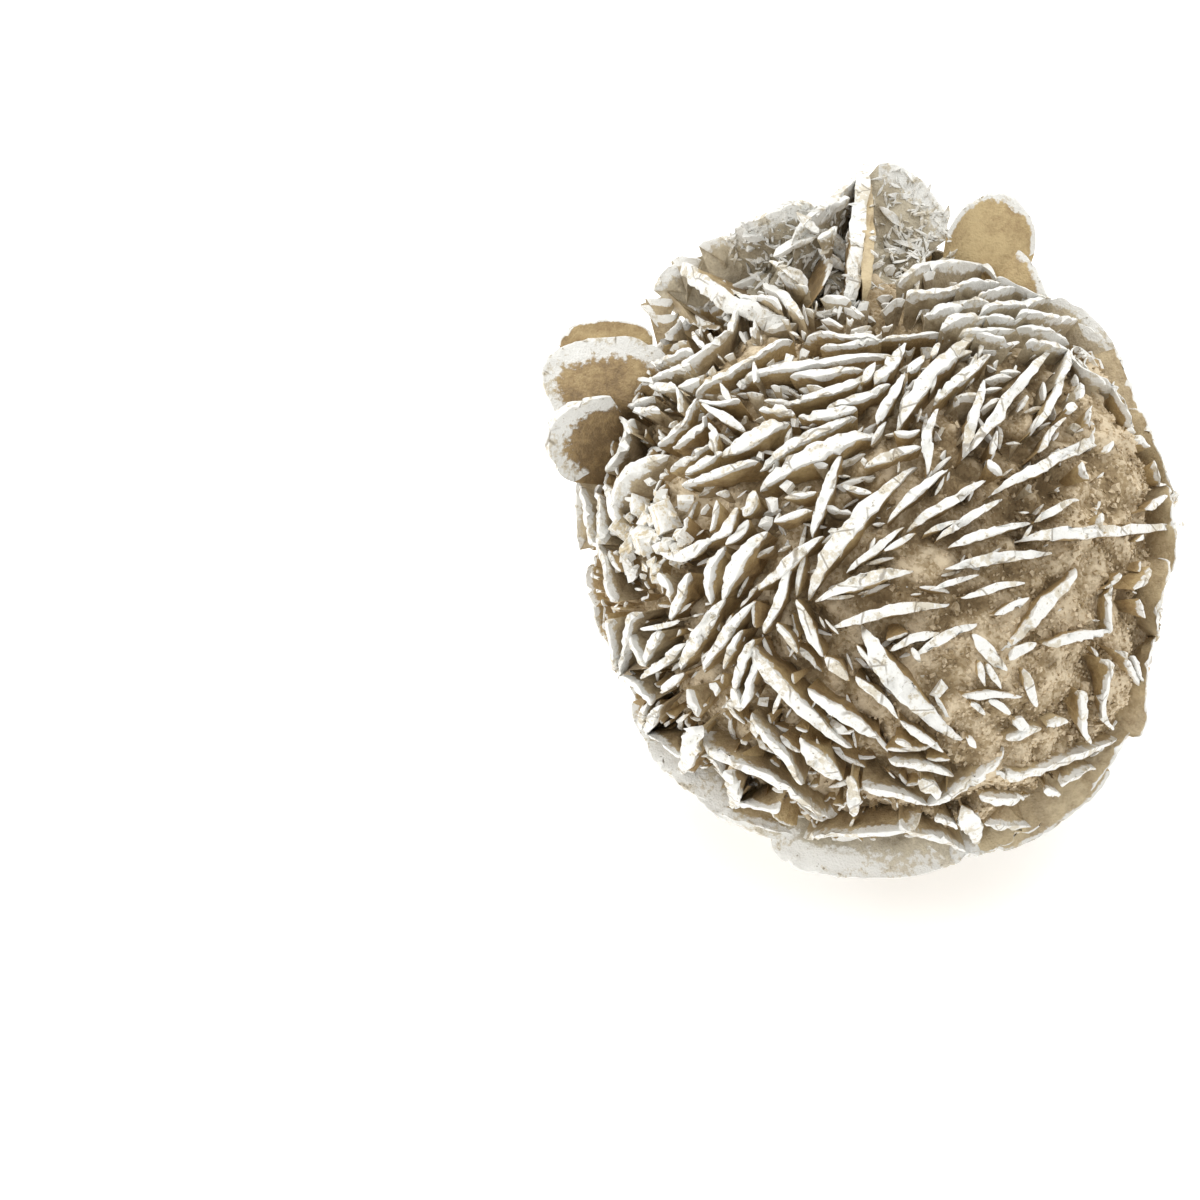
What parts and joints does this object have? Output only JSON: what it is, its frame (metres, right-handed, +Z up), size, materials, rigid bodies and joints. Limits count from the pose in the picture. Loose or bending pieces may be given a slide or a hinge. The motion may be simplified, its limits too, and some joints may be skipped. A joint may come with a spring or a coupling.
{
  "type": "gypsum sand rose",
  "caption": "Ball-shaped cluster of intergrown disc-shaped gypsum blades in sandy matrix, resting on the flat underside of its lowest blade.",
  "frame": {"origin": "centre of the flat underside of the lowest blade, which the rose rests on", "axes": "+Z up from the resting face; +Y towards the side with the tall crown of blades; +X to the right when the rosette of radiating rims is seen from the front"},
  "size_m": [0.086, 0.0903, 0.0745],
  "materials": {
    "sandy_gypsum": "matt, sand-grained"
  },
  "bodies": {
    "root": {"sand_rose": "sandy_gypsum"}
  },
  "joints": []
}
